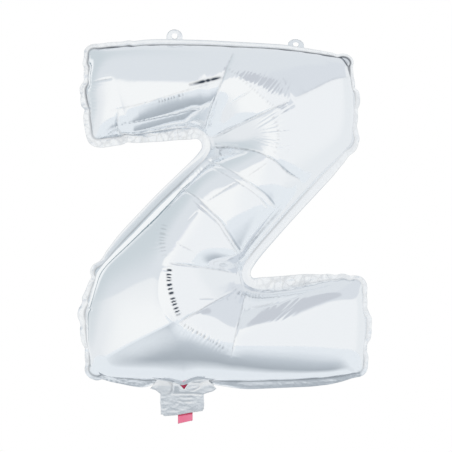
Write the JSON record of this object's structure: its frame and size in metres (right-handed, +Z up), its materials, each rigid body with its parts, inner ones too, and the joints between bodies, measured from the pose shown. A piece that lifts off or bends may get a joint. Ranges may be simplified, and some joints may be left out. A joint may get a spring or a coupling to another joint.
{
  "type": "foil letter balloon",
  "caption": "Air-filled silver foil balloon in the shape of a letter Z, with a flat welded rim, hanging tabs on the top edge and a tail with its valve film below.",
  "frame": {"origin": "midway between the holes of the two hanging tabs on the top edge, in the plane of the weld", "axes": "+Z up, +X to the right as the letter is read, -Y out of the letter's front"},
  "size_m": [0.2929, 0.107, 0.3948],
  "materials": {
    "silver_foil": "metallised film under air pressure, mirror bright with fine creases",
    "silver_rim": "two metallised films welded flat, softly puckered",
    "valve_red": "thin printed plastic film, slightly glossy"
  },
  "bodies": {
    "root": {"front_foil": "silver_foil", "back_foil": "silver_foil", "edge_seam": "silver_rim", "hang_tab_left": "silver_rim", "hang_tab_right": "silver_rim", "tail_front": "silver_foil", "tail_back": "silver_foil", "valve_film_front": "valve_red", "valve_film_back": "valve_red"}
  },
  "joints": []
}
